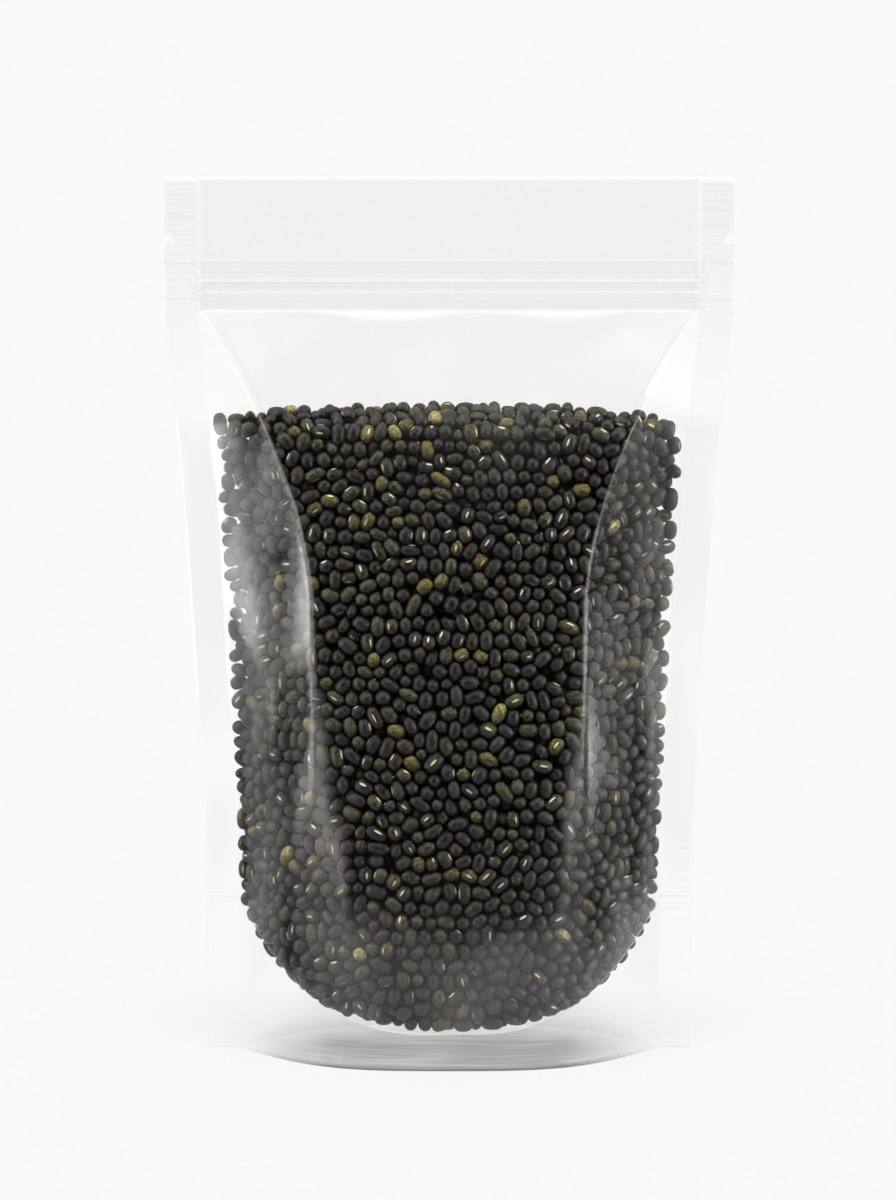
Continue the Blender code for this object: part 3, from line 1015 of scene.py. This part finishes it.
def zip_finish():
    """The zip's thicker clear plastic, drawn out with fine lines along it, and grey lines of painted shade
    along its track's grooves.
    """
    finish = new_finish("drawn_zip_plastic")
    place = finish.place()
    across, _, height = finish.parts(place)
    height = height / MM
    full = 1 - (abs(across) / MM).above(*ZIP_FINISH_END)
    lines = finish.noise(finish.stretched(place, ZIP_LINES), 1.0, 1.0)
    grooves = sum(strength * height.near(middle, reach) for middle, reach, strength in ZIP_GROOVE_SHADES)
    # Painted shade: the milky plastic turns grey in lines along the track's grooves
    shadow = (grooves * (ZIP_GROOVE_SHADE_LEAST + lines)).held()
    normal = finish.relief(lines * ZIP_RELIEF)
    clear = finish.node("ShaderNodeBsdfTransparent")
    white = finish.blend(shadow, colour(246, 247, 247), colour(150, 152, 154))
    milky = finish.coat(white, ZIP_MILKY_ROUGHNESS, normal)
    gloss = finish.coat((1.0, 1.0, 1.0, 1.0), ZIP_ROUGHNESS, normal, 1.0)
    haze = (ZIP_LINE_HAZE * lines.above(*ZIP_LINES_SEEN) + ZIP_GROOVE_SHADE_SHARE * shadow).held() * full
    body = finish.mixed(haze, clear, milky)
    return finish.done(finish.mixed(finish.sheen(ZIP_SHEEN, normal) * full, body, gloss))


def bean_finish(name, dark, light, hilum):
    """A matt seed coat: fine speckle, patches and a tone of its own.

    The hilum is the pale slit where the bean hung in its pod.
    """
    finish = new_finish(name)
    place = finish.place()
    speckle = finish.noise(place, SPECKLE, 1.0)
    patches = finish.noise(place, PATCHES)
    share = TONE_SHARE * finish.stored("tone") + SPECKLE_SHARE * (speckle - SPECKLE_MIDDLE)
    share = share + PATCH_SHARE * (patches - PATCH_MIDDLE)
    skin = finish.blend(share.held(), dark, light)
    along, across, out = finish.parts(finish.stored("on_bean", "Vector"))
    lengthwise = along / HILUM_HALF_LENGTH
    sideways = across / HILUM_HALF_WIDTH
    oval = lengthwise * lengthwise + sideways * sideways
    slit = (1 - oval.above(*HILUM_EDGE)) * out.above(*HILUM_SIDE)
    groove = across.near(*GROOVE_LINE) * (1 - abs(along).above(*GROOVE_END)) * slit
    skin = finish.blend(slit, skin, hilum)
    # Painted shade: a dark line down the hilum's sunken middle, where the groove is dented in
    skin = finish.blend(groove * GROOVE_PAINTED_SHADE, skin, colour(52, 46, 34))
    roughness = BEAN_ROUGHNESS + BEAN_ROUGHNESS_SPREAD * (speckle - 0.5)
    normal = finish.relief(speckle * SPECKLE_RELIEF + slit * HILUM_RELIEF - groove * HILUM_RELIEF)
    return finish.done(finish.coat(skin, roughness, normal, gloss=BEAN_GLOSS))


# Kinds of bean: name, share of the heap, darkest and lightest coat, and hilum
KINDS = (
    ("black", 0.28, colour(4, 4, 4), colour(38, 37, 34), colour(226, 219, 186)),
    ("charcoal", 0.29, colour(6, 6, 5), colour(52, 50, 43), colour(230, 222, 188)),
    ("grey_green", 0.25, colour(10, 10, 7), colour(70, 68, 46), colour(230, 222, 182)),
    ("brown", 0.08, colour(9, 7, 6), colour(60, 49, 40), colour(220, 206, 166)),
    ("olive", 0.09, colour(28, 26, 14), colour(102, 94, 54), colour(232, 220, 168)),
    ("straw", 0.01, colour(84, 78, 44), colour(162, 151, 98), colour(236, 224, 172)),
)


def put_on_root(piece, materials):
    for material in materials:
        piece.data.materials.append(material)
    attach(piece, BODY)
    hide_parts(POUCH)


def make_film():
    inner_face = inner_face_finish()
    # The front film's satin band carries the painted shade; the back film's far less
    front_film = film_finish("clear_front_film", 1.0, 0.5, SATIN_HAZE), inner_face
    back_film = film_finish("clear_back_film", 1.0, 0.5, SATIN_HAZE_BEHIND), inner_face
    floor_film = film_finish("clear_floor_film", 0.3, 0.0, 0.0), inner_face
    zip_plastic = (zip_finish(),)
    sheets = (
        (make_panel("front_panel", -1), front_film),
        (make_panel("back_panel", 1), back_film),
        (make_floor_film(), floor_film),
        (make_zip_strip("zip_front_strip", -1), zip_plastic),
        (make_zip_strip("zip_back_strip", 1), zip_plastic),
    )
    for sheet, materials in sheets:
        sheet.visible_shadow = False
        sheet.visible_diffuse = False
        put_on_root(sheet, materials)


def make_beans():
    centres, axis, length, width, rng = settle_beans()
    beans = {"centre": centres, "frame": bean_frames(axis, rng), "length": length, "width": width}
    beans["tone"] = rng.uniform(0.0, 1.0, len(centres))
    depth = np.min([d for d, _ in limits(centres, np.zeros(len(centres)))], axis=0)
    outer = depth < OUTER_DEPTH + FINE_PAST_OUTER
    kind = rng.choice(len(KINDS), len(centres), p=[k[1] for k in KINDS])
    layers = (bean_shape(*FINE_BEAN), outer), (bean_shape(*PLAIN_BEAN), ~outer)
    for index, (name, _, dark, light, hilum) in enumerate(KINDS):
        piece = joined_beans(name + "_beans", layers, beans, kind == index)
        put_on_root(piece, (bean_finish(name + "_seed_coat", dark, light, hilum),))


# Studio

def make_camera():
    camera = bpy.data.cameras.new("camera")
    camera.lens = FOCAL_PIXELS * SENSOR / IMAGE_HEIGHT
    camera.sensor_width = SENSOR
    camera.clip_end = 100.0
    holder = bpy.data.objects.new("camera", camera)
    back = Vector((0.0, -math.cos(CAMERA_ELEVATION), math.sin(CAMERA_ELEVATION)))
    holder.location = CAMERA_TARGET + CAMERA_DISTANCE * back
    holder.rotation_euler = (math.pi / 2 - CAMERA_ELEVATION, 0.0, 0.0)
    bpy.context.scene.collection.objects.link(holder)
    bpy.context.scene.camera = holder


def make_paper():
    """A sheet of glowing white paper: wide behind the pouch, and ending a little in front of it."""
    bm = bmesh.new()
    bmesh.ops.create_grid(bm, x_segments=1, y_segments=1, size=0.5)
    bmesh.ops.scale(bm, verts=bm.verts[:], vec=(PAPER_WIDTH, PAPER_DEPTH, 1.0))
    middle = (0.0, PAPER_DEPTH / 2 - PAPER_IN_FRONT, -0.05 * MM)
    bmesh.ops.translate(bm, verts=bm.verts[:], vec=middle)
    mesh = bpy.data.meshes.new("paper")
    bm.to_mesh(mesh)
    bm.free()
    paper = bpy.data.objects.new("paper", mesh)
    finish = new_finish("glowing_white_paper")
    grey = (PAPER_WHITENESS, PAPER_WHITENESS, PAPER_WHITENESS, 1.0)
    values = {"Base Color": grey, "Roughness": 1.0, "Specular IOR Level": 0.0}
    values["Emission Color"] = (1.0, 1.0, 1.0, 1.0)
    values["Emission Strength"] = PAPER_GLOW
    mesh.materials.append(finish.done(finish.node("ShaderNodeBsdfPrincipled", None, values)))
    paper.visible_diffuse = False
    bpy.context.scene.collection.objects.link(paper)


def make_top_light():
    light = bpy.data.lights.new("top_light", "SUN")
    light.energy = TOP_LIGHT
    light.angle = TOP_LIGHT_SPREAD
    holder = bpy.data.objects.new("top_light", light)
    down = Vector((0.0, math.cos(TOP_LIGHT_ELEVATION), -math.sin(TOP_LIGHT_ELEVATION)))
    holder.rotation_euler = down.to_track_quat("-Z", "Y").to_euler()
    holder.visible_glossy = False
    bpy.context.scene.collection.objects.link(holder)


def make_room():
    """White behind, dark in front, with a panel overhead and one at each side, and white to the camera.

    The panels are stronger in reflections than in what they light, and have brighter and dimmer patches,
    so that their reflections in the film are uneven.
    """
    room = Nodes(bpy.data.worlds.new("room"), "ShaderNodeOutputWorld")
    direction = room.node("ShaderNodeTexCoord")
    x, y, z = room.parts(direction)
    patches = room.noise(direction, ROOM_PATCHES, 1.0).above(*PATCH_EDGE)
    forward = 1 - y.above(*BACK_WALL)
    behind = y.above(*BACK_WALL) * ROOM_BEHIND
    beside = forward * y.above(*BESIDE_START) * ROOM_BESIDE
    overhead = z.above(*OVERHEAD_START)
    high = forward * z.above(*HIGH_START) * (1 - z.above(*HIGH_END)) * (HIGH_LEAST + patches)
    at_side = (abs(x) + y).above(*SIDE_START) * (1 - y.above(*SIDE_END))
    upright = z.above(*SIDE_FOOT) * (1 - z.above(*SIDE_TOP))
    panels = at_side * upright * (SIDE_LEAST + SIDE_CONTRAST * patches)
    soft = behind + beside + high * HIGH_PATCHES + overhead * OVERHEAD_PANEL + panels * SIDE_PANELS
    mirrored = high * HIGH_PATCHES_MIRRORED + overhead * OVERHEAD_MIRRORED + panels * SIDE_PANELS_MIRRORED
    seen = room.node("ShaderNodeLightPath", output="Is Camera Ray")
    in_mirror = room.node("ShaderNodeLightPath", output="Is Glossy Ray")
    strength = SEEN_BEHIND * seen + (1 - seen) * (soft + in_mirror * mirrored)
    values = {"Color": (1.0, 1.0, 1.0, 1.0), "Strength": strength}
    background = room.node("ShaderNodeBackground", None, values)
    scene = bpy.context.scene
    scene.world = room.done(background)
    scene.view_settings.view_transform = "Standard"
    scene.cycles.transparent_max_bounces = 40


make_camera()
make_film()
make_beans()
make_paper()
make_top_light()
make_room()
